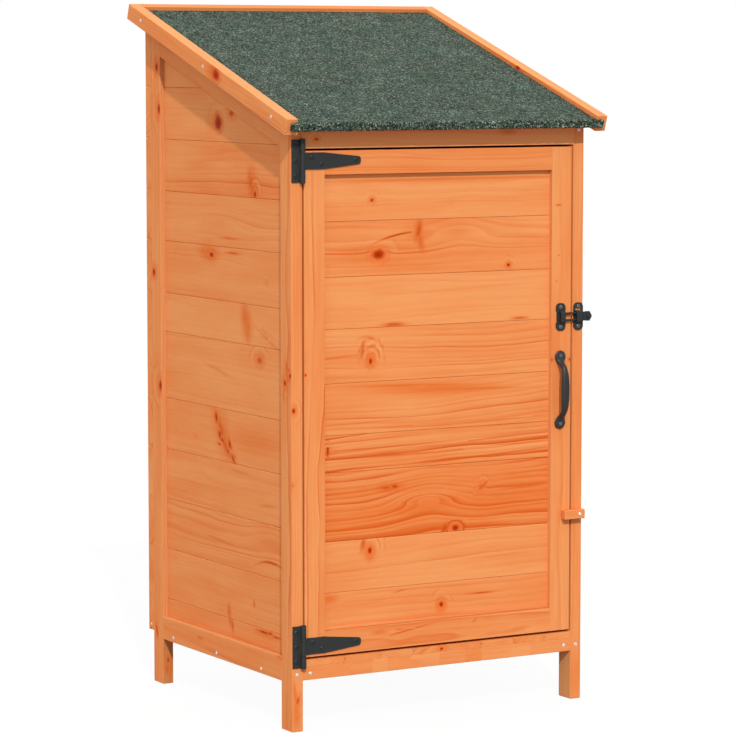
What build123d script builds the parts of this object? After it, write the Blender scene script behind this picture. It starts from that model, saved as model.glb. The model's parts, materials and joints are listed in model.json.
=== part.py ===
"""Small wooden tool shed: pent roof with mineral felt, one boarded door on two
T-hinges, a sliding latch and a wooden turn button.  Millimetres.

Frame: X to the right (seen from the front), Y to the back, Z up.  The origin is
on the floor under the middle of the overall box.  The door is on the -Y side.
"""
import math
import os

from build123d import *

os.makedirs("parts", exist_ok=True)

# ------------------------------------------------------------------ driving sizes
height = 1090.0            # top edge at the back of the roof
body_width = 518.0         # over the outer faces of the posts
body_depth = 463.0         # front face of the front posts to back face of the back posts
post_width = 18.0          # posts, along X
post_depth = 33.0          # posts, along Y
rail_depth = 20.0          # front and back rails, along Y

wall_recess = 8.5          # boards stand back from the posts
wall_thickness = 9.5       # side boards
back_thickness = 17.0      # back boards with their battens
back_bottom = 82.7         # lower edge of the back boards

skirt_bottom = 73.2
skirt_top = 110.0
rail_bottom = 77.0
rail_top = 97.7
floor_thickness = 10.3
head_bottom = 872.0

# roof, measured along and square to its slope
roof_width = 566.0         # over the barge boards
roof_slope = 18.5          # degrees
barge_length = 550.5
barge_height = 25.0
barge_thickness = 19.7
roof_back = 490.8          # top back corner, behind the front face of the front posts
felt_below_barge = 5.5
felt_thickness = 2.5
deck_thickness = 10.0
fascia_thickness = 15.0
top_rail_height = 42.3
roll_width = 552.0
roll_depth = 6.5
roll_top = 4.0             # below the top edge of the barge boards
roll_bottom = 19.0
roll_radius = 5.0

# door
door_clear = 5.0
stile_inner_left = -201.8
stile_inner_right = 201.2
door_rail = 35.0
door_thickness = 18.0
panel_recess = 8.0
panel_thickness = 9.0

# T-hinges
hinge_levels = (853.2, 128.4)
hinge_axis_x = -241.5
hinge_axis_out = 4.3       # in front of the door face
knuckle_radius = 4.1
knuckle_length = 65.0
strap_knuckle = 26.4
knuckle_play = 0.4
pin_radius = 2.0
pin_bore = 2.15
pin_head = 0.7
hinge_plate = 2.0
leaf_outer = -258.4
leaf_inner = -245.4
leaf_height = 63.2
strap_base = 24.8
strap_tip_height = 11.0
strap_taper_from = -205.0
strap_tip = -141.2

# latch
latch_level = 604.2
latch_plate_height = 43.0
latch_plate_width = 17.4
latch_plate = 1.6
keeper_waist = 1.5         # the keeper's sides step in between its rounded ends
keeper_waist_height = 18.0
keeper_x = 217.4
keeper_bridge_x = 218.4
keeper_bridge_width = 8.6
guide_x = 250.0
guide_bridge_x = 248.8
guide_bridge_width = 10.8
window_height = 3.6        # opening over the guide's pressed bridge
window_width = 10.4
bridge_height = 18.6
bridge_out = 7.8
bridge_shoulder = 3.4      # the bridge's rounded shoulders
tunnel_height = 14.8
tunnel_out = 6.3
rod_radius = 1.7
rod_half_pitch = 5.2
rod_out = 4.0
rod_start = 215.0
finger_start = 256.0
finger_end = 272.0
finger_half_height = 7.4
finger_neck = 6.9
finger_thickness = 4.2

# pull handle
handle_x = 216.3
handle_top = 542.4
handle_bottom = 439.5
lobe_radius = 9.8
lobe_thickness = 4.0
grip_half_width = 6.4
grip_half_thickness = 3.6
grip_out = 18.4            # middle of the grip, in front of the door face

# turn button
button_x = 248.5           # pivot
button_level = 294.6
button_reach = 28.0        # towards the door
button_tail = 9.6
button_height = 14.5
button_thickness = 11.0
button_off = 1.0           # off the wood
button_screw_radius = 2.0
button_hole = 2.3

# ------------------------------------------------------------------ derived sizes
slope = math.radians(roof_slope)
cs, sn = math.cos(slope), math.sin(slope)
half = body_width / 2
inner = half - post_width
roof_half = roof_width / 2
deck_half = roof_half - barge_thickness
deck_under = felt_below_barge + felt_thickness + deck_thickness

# the overall box runs from the front of the felt roll to the lower back corner of the roof
front_reach = -(roof_back - (barge_length + roll_depth - roll_radius) * cs
                + (roll_top + roll_radius) * sn - roll_radius)
back_reach = roof_back + barge_height * sn
face = -(back_reach - front_reach) / 2      # world Y of the front face of the posts


def at(u, n):
    """Point (Y, Z) u along the roof slope from the top back edge, n square to it."""
    return (face + roof_back - u * cs - n * sn, height - u * sn + n * cs)


def under(y, drop=deck_under):
    """Height at y (behind the front face) of the plane that far under the roof line."""
    return height - (roof_back - y) * math.tan(slope) - drop / cs


back = face + body_depth
sides = (("left", -1), ("right", 1))

# ------------------------------------------------------------------ posts
for side, s in sides:
    with BuildPart() as front_post:
        with BuildSketch(Plane.YZ.offset(-half if s < 0 else inner)):
            with BuildLine():
                Polyline((face, 0), (face + post_depth, 0),
                         (face + post_depth, under(post_depth)), (face, under(0)), close=True)
            make_face()
        extrude(amount=post_width)
    front_post.part.label = f"front_{side}_post"
    export_step(front_post.part, f"parts/front_{side}_post.step")

    with BuildPart() as back_post:
        with BuildSketch(Plane.YZ.offset(-half if s < 0 else inner)):
            with BuildLine():
                Polyline((back - post_depth, 0), (back, 0), (back, under(body_depth)),
                         (back - post_depth, under(body_depth - post_depth)), close=True)
            make_face()
        extrude(amount=post_width)
    back_post.part.label = f"back_{side}_post"
    export_step(back_post.part, f"parts/back_{side}_post.step")

# ------------------------------------------------------------------ side walls
wall_front = post_depth
wall_back = body_depth - post_depth
for side, s in sides:
    board_plane = -half + wall_recess if s < 0 else half - wall_recess - wall_thickness
    with BuildPart() as wall:
        with BuildSketch(Plane.YZ.offset(board_plane)):
            with BuildLine():
                Polyline((face + wall_front, skirt_top), (face + wall_back, skirt_top),
                         (face + wall_back, under(wall_back, deck_under + top_rail_height)),
                         (face + wall_front, under(wall_front, deck_under + top_rail_height)),
                         close=True)
            make_face()
        extrude(amount=wall_thickness)
    wall.part.label = f"{side}_wall"
    export_step(wall.part, f"parts/{side}_wall.step")

    with BuildPart() as skirt:
        with BuildSketch(Plane.YZ.offset(-half if s < 0 else inner)):
            with Locations((face + body_depth / 2, (skirt_bottom + skirt_top) / 2)):
                Rectangle(wall_back - wall_front, skirt_top - skirt_bottom)
        extrude(amount=post_width)
    skirt.part.label = f"{side}_skirt"
    export_step(skirt.part, f"parts/{side}_skirt.step")

    with BuildPart() as top_rail:
        with BuildSketch(Plane.YZ.offset(-half if s < 0 else inner)):
            with BuildLine():
                Polyline((face + wall_front, under(wall_front, deck_under + top_rail_height)),
                         (face + wall_back, under(wall_back, deck_under + top_rail_height)),
                         (face + wall_back, under(wall_back)),
                         (face + wall_front, under(wall_front)), close=True)
            make_face()
        extrude(amount=post_width)
    top_rail.part.label = f"{side}_top_rail"
    export_step(top_rail.part, f"parts/{side}_top_rail.step")

# ------------------------------------------------------------------ back wall
with BuildPart() as back_wall:
    with BuildSketch(Plane.YZ.offset(-half)):
        with BuildLine():
            Polyline((back, back_bottom), (back + back_thickness, back_bottom),
                     (back + back_thickness, under(body_depth + back_thickness)),
                     (back, under(body_depth)), close=True)
        make_face()
    extrude(amount=body_width)
back_wall.part.label = "back_wall"
export_step(back_wall.part, "parts/back_wall.step")

# ------------------------------------------------------------------ front and back rails, floor
with BuildPart() as front_head_rail:
    with BuildSketch(Plane.YZ.offset(-inner)):
        with BuildLine():
            Polyline((face, head_bottom), (face + rail_depth, head_bottom),
                     (face + rail_depth, under(rail_depth)), (face, under(0)), close=True)
        make_face()
    extrude(amount=2 * inner)
front_head_rail.part.label = "front_head_rail"
export_step(front_head_rail.part, "parts/front_head_rail.step")

with BuildPart() as front_bottom_rail:
    with BuildSketch(Plane.XY.offset(rail_bottom)):
        with Locations((0, face + rail_depth / 2)):
            Rectangle(2 * inner, rail_depth)
    extrude(amount=rail_top - rail_bottom)
front_bottom_rail.part.label = "front_bottom_rail"
export_step(front_bottom_rail.part, "parts/front_bottom_rail.step")

with BuildPart() as back_bottom_rail:
    with BuildSketch(Plane.XY.offset(rail_bottom)):
        with Locations((0, back - rail_depth / 2)):
            Rectangle(2 * inner, rail_depth)
    extrude(amount=rail_top - rail_bottom)
back_bottom_rail.part.label = "back_bottom_rail"
export_step(back_bottom_rail.part, "parts/back_bottom_rail.step")

with BuildPart() as floor:
    with BuildSketch(Plane.XY.offset(rail_top)):
        with Locations((0, face + body_depth / 2)):
            Rectangle(2 * inner, body_depth)
    extrude(amount=floor_thickness)
floor.part.label = "floor"
export_step(floor.part, "parts/floor.step")

# ------------------------------------------------------------------ roof
with BuildPart() as roof_deck:
    with BuildSketch(Plane.YZ.offset(-deck_half)):
        with BuildLine():
            Polyline(at(fascia_thickness, -deck_under), at(barge_length, -deck_under),
                     at(barge_length, -deck_under + deck_thickness),
                     at(fascia_thickness, -deck_under + deck_thickness), close=True)
        make_face()
    extrude(amount=2 * deck_half)
roof_deck.part.label = "roof_deck"
export_step(roof_deck.part, "parts/roof_deck.step")

with BuildPart() as roof_felt:
    with BuildSketch(Plane.YZ.offset(-deck_half)):
        with BuildLine():
            Polyline(at(fascia_thickness, -felt_below_barge - felt_thickness),
                     at(barge_length, -felt_below_barge - felt_thickness),
                     at(barge_length, -felt_below_barge),
                     at(fascia_thickness, -felt_below_barge), close=True)
        make_face()
    extrude(amount=2 * deck_half)
roof_felt.part.label = "roof_felt"
export_step(roof_felt.part, "parts/roof_felt.step")

with BuildPart() as roof_felt_roll:
    with BuildSketch(Plane.YZ.offset(-roll_width / 2)) as roll_profile:
        with BuildLine():
            Polyline(at(barge_length, -roll_top), at(barge_length, -roll_bottom),
                     at(barge_length + roll_depth, -roll_bottom),
                     at(barge_length + roll_depth, -roll_top), close=True)
        make_face()
        fillet(roll_profile.vertices().sort_by(Axis.X)[:1], radius=roll_radius)
        fillet(roll_profile.vertices().sort_by(Axis.Y)[:1], radius=roll_radius - 1.0)
    extrude(amount=roll_width)
roof_felt_roll.part.label = "roof_felt_roll"
export_step(roof_felt_roll.part, "parts/roof_felt_roll.step")

for side, s in sides:
    with BuildPart() as barge_board:
        with BuildSketch(Plane.YZ.offset(-roof_half if s < 0 else deck_half)):
            with BuildLine():
                Polyline(at(0, 0), at(0, -barge_height), at(barge_length, -barge_height),
                         at(barge_length, 0), close=True)
            make_face()
        extrude(amount=barge_thickness)
    barge_board.part.label = f"{side}_barge_board"
    export_step(barge_board.part, f"parts/{side}_barge_board.step")

with BuildPart() as back_fascia:
    with BuildSketch(Plane.YZ.offset(-deck_half)):
        with BuildLine():
            Polyline(at(0, 0), at(0, -barge_height), at(fascia_thickness, -barge_height),
                     at(fascia_thickness, 0), close=True)
        make_face()
    extrude(amount=2 * deck_half)
back_fascia.part.label = "back_fascia"
export_step(back_fascia.part, "parts/back_fascia.step")

# ------------------------------------------------------------------ door
door_left = -inner + door_clear
door_right = inner - door_clear
door_bottom = rail_top + floor_thickness + door_clear
door_top = head_bottom - door_clear
door_mid = face + door_thickness / 2

with BuildPart() as door_left_stile:
    with BuildSketch(Plane.XY.offset(door_bottom)):
        with Locations(((door_left + stile_inner_left) / 2, door_mid)):
            Rectangle(stile_inner_left - door_left, door_thickness)
    extrude(amount=door_top - door_bottom)
door_left_stile.part.label = "door_left_stile"
export_step(door_left_stile.part, "parts/door_left_stile.step")

with BuildPart() as door_right_stile:
    with BuildSketch(Plane.XY.offset(door_bottom)):
        with Locations(((door_right + stile_inner_right) / 2, door_mid)):
            Rectangle(door_right - stile_inner_right, door_thickness)
    extrude(amount=door_top - door_bottom)
door_right_stile.part.label = "door_right_stile"
export_step(door_right_stile.part, "parts/door_right_stile.step")

panel_mid = (stile_inner_left + stile_inner_right) / 2
panel_width = stile_inner_right - stile_inner_left
with BuildPart() as door_top_rail:
    with BuildSketch(Plane.XY.offset(door_top - door_rail)):
        with Locations((panel_mid, door_mid)):
            Rectangle(panel_width, door_thickness)
    extrude(amount=door_rail)
door_top_rail.part.label = "door_top_rail"
export_step(door_top_rail.part, "parts/door_top_rail.step")

with BuildPart() as door_bottom_rail:
    with BuildSketch(Plane.XY.offset(door_bottom)):
        with Locations((panel_mid, door_mid)):
            Rectangle(panel_width, door_thickness)
    extrude(amount=door_rail)
door_bottom_rail.part.label = "door_bottom_rail"
export_step(door_bottom_rail.part, "parts/door_bottom_rail.step")

with BuildPart() as door_panel:
    with BuildSketch(Plane.XY.offset(door_bottom + door_rail)):
        with Locations((panel_mid, face + panel_recess + panel_thickness / 2)):
            Rectangle(panel_width, panel_thickness)
    extrude(amount=door_top - door_bottom - 2 * door_rail)
door_panel.part.label = "door_panel"
export_step(door_panel.part, "parts/door_panel.step")

# ------------------------------------------------------------------ T-hinges
axis_y = face - hinge_axis_out
for level_name, level in zip(("top", "bottom"), hinge_levels):
    low = level - knuckle_length / 2
    gap_low = level - strap_knuckle / 2 - knuckle_play
    gap_high = level + strap_knuckle / 2 + knuckle_play

    # leaf on the post: a plate with a slot beside the middle knuckle, and two knuckles
    with BuildPart() as hinge_leaf:
        with BuildSketch(Plane.XZ.offset(-face)):
            with Locations(((leaf_outer + leaf_inner) / 2, level)):
                Rectangle(leaf_inner - leaf_outer, leaf_height)
            for z0, z1 in ((level - leaf_height / 2, gap_low), (gap_high, level + leaf_height / 2)):
                with Locations(((leaf_inner + hinge_axis_x) / 2, (z0 + z1) / 2)):
                    Rectangle(hinge_axis_x - leaf_inner, z1 - z0)
        extrude(amount=hinge_plate)
        for z0, z1 in ((low, gap_low), (gap_high, level + knuckle_length / 2)):
            with BuildSketch(Plane.XY.offset(z0)):
                with Locations((hinge_axis_x, axis_y)):
                    Circle(knuckle_radius)
            extrude(amount=z1 - z0)
        with BuildSketch(Plane.XY.offset(low)):
            with Locations((hinge_axis_x, axis_y)):
                Circle(pin_bore)
        extrude(amount=knuckle_length, mode=Mode.SUBTRACT)
    hinge_leaf.part.label = f"{level_name}_hinge_leaf"
    export_step(hinge_leaf.part, f"parts/{level_name}_hinge_leaf.step")

    # pin through all three knuckles, with a small head at each end
    with BuildPart() as hinge_pin:
        with BuildSketch(Plane.XY.offset(low)):
            with Locations((hinge_axis_x, axis_y)):
                Circle(pin_radius)
        extrude(amount=knuckle_length)
        for z0 in (low - pin_head, low + knuckle_length):
            with BuildSketch(Plane.XY.offset(z0)):
                with Locations((hinge_axis_x, axis_y)):
                    Circle(pin_radius + 0.9)
            extrude(amount=pin_head)
    hinge_pin.part.label = f"{level_name}_hinge_pin"
    export_step(hinge_pin.part, f"parts/{level_name}_hinge_pin.step")

    # tapered strap on the door with the middle knuckle
    with BuildPart() as hinge_strap:
        with BuildSketch(Plane.XZ.offset(-face)) as strap_profile:
            with BuildLine():
                Polyline((hinge_axis_x + 1.0, level - strap_base / 2),
                         (strap_taper_from, level - strap_base / 2),
                         (strap_tip, level - strap_tip_height / 2),
                         (strap_tip, level + strap_tip_height / 2),
                         (strap_taper_from, level + strap_base / 2),
                         (hinge_axis_x + 1.0, level + strap_base / 2), close=True)
            make_face()
            fillet(strap_profile.vertices().group_by(Axis.X)[-1], radius=4.2)
        extrude(amount=hinge_plate)
        with BuildSketch(Plane.XY.offset(level - strap_knuckle / 2)):
            with Locations((hinge_axis_x, axis_y)):
                Circle(knuckle_radius)
        extrude(amount=strap_knuckle)
        with BuildSketch(Plane.XY.offset(level - strap_knuckle / 2)):
            with Locations((hinge_axis_x, axis_y)):
                Circle(pin_bore)
        extrude(amount=strap_knuckle, mode=Mode.SUBTRACT)
    hinge_strap.part.label = f"{level_name}_hinge_strap"
    export_step(hinge_strap.part, f"parts/{level_name}_hinge_strap.step")

# ------------------------------------------------------------------ sliding latch
for piece, plate_x, bridge_x, bridge_width in (
        ("latch_keeper", keeper_x, keeper_bridge_x, keeper_bridge_width),
        ("latch_guide", guide_x, guide_bridge_x, guide_bridge_width)):
    with BuildPart() as latch_plate_part:
        with BuildSketch(Plane.XZ.offset(-face)):
            with Locations((plate_x, latch_level)):
                RectangleRounded(latch_plate_width, latch_plate_height, 7.0)
            if piece == "latch_keeper":
                with Locations((plate_x - latch_plate_width / 2, latch_level),
                               (plate_x + latch_plate_width / 2, latch_level)):
                    Rectangle(2 * keeper_waist, keeper_waist_height, mode=Mode.SUBTRACT)
        extrude(amount=latch_plate)
        # bridge that the two rods pass through
        with BuildSketch(Plane.YZ.offset(bridge_x - bridge_width / 2)) as bridge_profile:
            with Locations((face - bridge_out / 2, latch_level)):
                Rectangle(bridge_out, bridge_height)
            fillet(bridge_profile.vertices().group_by(Axis.X)[0], radius=bridge_shoulder)
        extrude(amount=bridge_width)
        with BuildSketch(Plane.YZ.offset(bridge_x - bridge_width / 2)):
            with Locations((face - (latch_plate + tunnel_out) / 2, latch_level)):
                Rectangle(tunnel_out - latch_plate, tunnel_height)
        extrude(amount=bridge_width, mode=Mode.SUBTRACT)
        if piece == "latch_guide":
            with BuildSketch(Plane.XZ.offset(-face)):
                with Locations((bridge_x + 0.6, latch_level + (bridge_height + window_height) / 2)):
                    Rectangle(window_width, window_height)
            extrude(amount=latch_plate, mode=Mode.SUBTRACT)
    latch_plate_part.part.label = piece
    export_step(latch_plate_part.part, f"parts/{piece}.step")

with BuildPart() as latch_bolt:
    for rod_z in (latch_level - rod_half_pitch, latch_level + rod_half_pitch):
        with BuildSketch(Plane.YZ.offset(rod_start)):
            with Locations((face - rod_out, rod_z)):
                Circle(rod_radius)
        extrude(amount=finger_start + 2.0 - rod_start)
    # pointed finger plate with a round boss
    with BuildSketch(Plane.XZ.offset(-face + rod_out - finger_thickness / 2)) as finger_profile:
        with BuildLine():
            Polyline((finger_start, latch_level - finger_neck),
                     (finger_start + 5.4, latch_level - finger_neck),
                     (finger_start + 6.2, latch_level - finger_half_height),
                     (finger_end - 3.8, latch_level - finger_half_height),
                     (finger_end, latch_level - 1.2), (finger_end, latch_level + 1.2),
                     (finger_end - 3.8, latch_level + finger_half_height),
                     (finger_start + 6.2, latch_level + finger_half_height),
                     (finger_start + 5.4, latch_level + finger_neck),
                     (finger_start, latch_level + finger_neck), close=True)
        make_face()
        fillet(finger_profile.vertices().group_by(Axis.X)[-1], radius=0.9)
    extrude(amount=finger_thickness)
    with BuildSketch(Plane.XZ.offset(-face + rod_out + finger_thickness / 2)):
        with Locations((finger_end - 6.2, latch_level)):
            Circle(3.6)
    extrude(amount=2.4, taper=20)
latch_bolt.part.label = "latch_bolt"
export_step(latch_bolt.part, "parts/latch_bolt.step")

# ------------------------------------------------------------------ pull handle
with BuildPart() as door_handle:
    with BuildSketch(Plane.XZ.offset(-face)):
        with Locations((handle_x, handle_top), (handle_x, handle_bottom)):
            Circle(lobe_radius)
    extrude(amount=lobe_thickness)
    with BuildLine() as grip_line:
        Spline((handle_x, face - 0.19 * grip_out, handle_top - 2.0),
               (handle_x, face - 0.70 * grip_out, handle_top - 13.0),
               (handle_x, face - 0.94 * grip_out, handle_top - 26.0),
               (handle_x, face - grip_out, (handle_top + handle_bottom) / 2),
               (handle_x, face - 0.94 * grip_out, handle_bottom + 26.0),
               (handle_x, face - 0.70 * grip_out, handle_bottom + 13.0),
               (handle_x, face - 0.19 * grip_out, handle_bottom + 2.0),
               tangents=((0, -0.75, -0.66), (0, 0.75, -0.66)))
    with BuildSketch(Plane(origin=grip_line.line @ 0, x_dir=(1, 0, 0), z_dir=grip_line.line % 0)):
        Ellipse(grip_half_width, grip_half_thickness)
    sweep(path=grip_line.line)
door_handle.part.label = "door_handle"
export_step(door_handle.part, "parts/door_handle.step")

# ------------------------------------------------------------------ turn button
with BuildPart() as turn_button:
    with BuildSketch(Plane.XZ.offset(-face + button_off)):
        with Locations((button_x + (button_tail - button_reach) / 2, button_level)):
            Rectangle(button_reach + button_tail, button_height)
        with Locations((button_x, button_level)):
            Circle(button_hole, mode=Mode.SUBTRACT)
    extrude(amount=button_thickness)
    chamfer(turn_button.faces().sort_by(Axis.Y)[0].outer_wire().edges(), length=1.0)
turn_button.part.label = "turn_button"
export_step(turn_button.part, "parts/turn_button.step")

with BuildPart() as turn_button_screw:
    with BuildSketch(Plane.XZ.offset(-face)):
        with Locations((button_x, button_level)):
            Circle(button_screw_radius)
    extrude(amount=button_off + button_thickness + 0.4)
    with BuildSketch(Plane.XZ.offset(-face + button_off + button_thickness + 0.4)):
        with Locations((button_x, button_level)):
            Circle(4.0)
    extrude(amount=1.4, taper=25)
turn_button_screw.part.label = "turn_button_screw"
export_step(turn_button_screw.part, "parts/turn_button_screw.step")
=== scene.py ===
import json
import math

import bmesh
import bpy
import numpy as np
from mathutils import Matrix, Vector, noise

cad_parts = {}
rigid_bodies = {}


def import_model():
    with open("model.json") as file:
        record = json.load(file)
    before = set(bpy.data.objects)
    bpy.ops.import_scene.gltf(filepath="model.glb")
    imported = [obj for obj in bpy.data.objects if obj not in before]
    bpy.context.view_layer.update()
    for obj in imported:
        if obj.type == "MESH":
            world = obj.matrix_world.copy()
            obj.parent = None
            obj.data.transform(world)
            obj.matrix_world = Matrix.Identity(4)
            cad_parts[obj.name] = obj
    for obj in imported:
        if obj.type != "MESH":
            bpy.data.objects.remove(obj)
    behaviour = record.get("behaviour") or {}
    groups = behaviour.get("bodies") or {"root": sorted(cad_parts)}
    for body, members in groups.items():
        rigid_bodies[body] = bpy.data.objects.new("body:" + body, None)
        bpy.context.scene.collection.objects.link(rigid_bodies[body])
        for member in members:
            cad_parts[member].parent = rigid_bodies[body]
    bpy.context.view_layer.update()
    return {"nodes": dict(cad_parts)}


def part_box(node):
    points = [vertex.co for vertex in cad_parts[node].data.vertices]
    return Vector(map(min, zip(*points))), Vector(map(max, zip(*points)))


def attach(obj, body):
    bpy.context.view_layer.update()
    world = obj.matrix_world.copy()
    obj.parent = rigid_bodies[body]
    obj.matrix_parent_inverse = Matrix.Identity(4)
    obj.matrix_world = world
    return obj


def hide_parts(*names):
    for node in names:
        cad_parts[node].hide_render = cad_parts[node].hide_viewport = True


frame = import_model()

MM = 0.001
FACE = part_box("front_left_post")[0].y / MM  # front face of the posts, mm
SLOPE = math.radians(18.5)
CS, SN = math.cos(SLOPE), math.sin(SLOPE)
Y_TOP = FACE + 490.8
X3, Y3, Z3 = np.eye(3)
ROOF_N = np.array([0.0, -SN, CS])  # square to the roof, outward
ROOF_U = np.array([0.0, -CS, -SN])  # down the roof


def Y(y):
    return FACE + y


def at(x, u, n):
    """A point x across the roof, u down its slope from the top edge and n above it."""
    return np.array([x, Y_TOP - u * CS - n * SN, 1090.0 - u * SN + n * CS])


# ---------------------------------------------------------------- node helpers
class Net:
    """Short calls for building one material's nodes."""

    def __init__(self, name):
        self.mat = bpy.data.materials.new(name)
        self.mat.use_nodes = True
        self.tree = self.mat.node_tree
        self.tree.nodes.clear()
        self.out = self.tree.nodes.new("ShaderNodeOutputMaterial")

    def node(self, kind, **props):
        n = self.tree.nodes.new(kind)
        for k, v in props.items():
            setattr(n, k, v)
        return n

    def put(self, socket, value):
        if isinstance(value, bpy.types.NodeSocket):
            self.tree.links.new(value, socket)
        elif value is not None:
            socket.default_value = value

    def m(self, op, a, b=None, c=None, clamp=False):
        n = self.node("ShaderNodeMath", operation=op, use_clamp=clamp)
        for s, v in zip(n.inputs, (a, b, c)):
            self.put(s, v)
        return n.outputs[0]

    def add(self, a, b):
        return self.m("ADD", a, b)

    def sub(self, a, b):
        return self.m("SUBTRACT", a, b)

    def mul(self, a, b):
        return self.m("MULTIPLY", a, b)

    def step(self, x, lo, hi, a=0.0, b=1.0):
        n = self.node("ShaderNodeMapRange", interpolation_type="SMOOTHSTEP")
        for s, v in zip(n.inputs[:5], (x, lo, hi, a, b)):
            self.put(s, v)
        return n.outputs[0]

    def lerp(self, x, lo, hi, a=0.0, b=1.0):
        n = self.node("ShaderNodeMapRange")
        for s, v in zip(n.inputs[:5], (x, lo, hi, a, b)):
            self.put(s, v)
        return n.outputs[0]

    def xyz(self, x, y, z):
        n = self.node("ShaderNodeCombineXYZ")
        for s, v in zip(n.inputs, (x, y, z)):
            self.put(s, v)
        return n.outputs[0]

    def parts(self, v):
        n = self.node("ShaderNodeSeparateXYZ")
        self.put(n.inputs[0], v)
        return n.outputs[0], n.outputs[1], n.outputs[2]

    def attr(self, name):
        return self.node("ShaderNodeAttribute", attribute_name=name).outputs["Vector"]

    def scaled(self, v, s):
        n = self.node("ShaderNodeVectorMath", operation="MULTIPLY")
        self.put(n.inputs[0], v)
        n.inputs[1].default_value = s
        return n.outputs[0]

    def noise(self, v, scale=1.0, detail=2.0, rough=0.5, distort=0.0):
        n = self.node("ShaderNodeTexNoise")
        self.put(n.inputs["Vector"], v)
        n.inputs["Scale"].default_value = scale
        n.inputs["Detail"].default_value = detail
        n.inputs["Roughness"].default_value = rough
        n.inputs["Distortion"].default_value = distort
        return n.outputs["Fac"]

    def noise1(self, w, scale=1.0, detail=1.0):
        n = self.node("ShaderNodeTexNoise", noise_dimensions="1D")
        self.put(n.inputs["W"], w)
        n.inputs["Scale"].default_value = scale
        n.inputs["Detail"].default_value = detail
        return n.outputs["Fac"]

    def white(self, w):
        n = self.node("ShaderNodeTexWhiteNoise", noise_dimensions="1D")
        self.put(n.inputs["W"], w)
        return n.outputs["Value"]

    def mix(self, f, a, b, how="MIX"):
        n = self.node("ShaderNodeMix", data_type="RGBA", blend_type=how)
        self.put(n.inputs["Factor"], f)
        for key, v in (("A", a), ("B", b)):
            s = [i for i in n.inputs if i.name == key and i.type == "RGBA"][0]
            self.put(s, (*v, 1.0) if isinstance(v, tuple) else v)
        return [o for o in n.outputs if o.type == "RGBA"][0]

    def bump(self, height, strength, distance):
        n = self.node("ShaderNodeBump")
        n.inputs["Strength"].default_value = strength
        n.inputs["Distance"].default_value = distance
        self.put(n.inputs["Height"], height)
        return n.outputs[0]

    def shade(self, colour, rough, bump=None, **fixed):
        n = self.node("ShaderNodeBsdfPrincipled")
        self.put(n.inputs["Base Color"], colour)
        self.put(n.inputs["Roughness"], rough)
        if bump is not None:
            self.put(n.inputs["Normal"], bump)
        for k, v in fixed.items():
            n.inputs[k].default_value = v
        self.tree.links.new(n.outputs[0], self.out.inputs["Surface"])
        return self.mat


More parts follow.
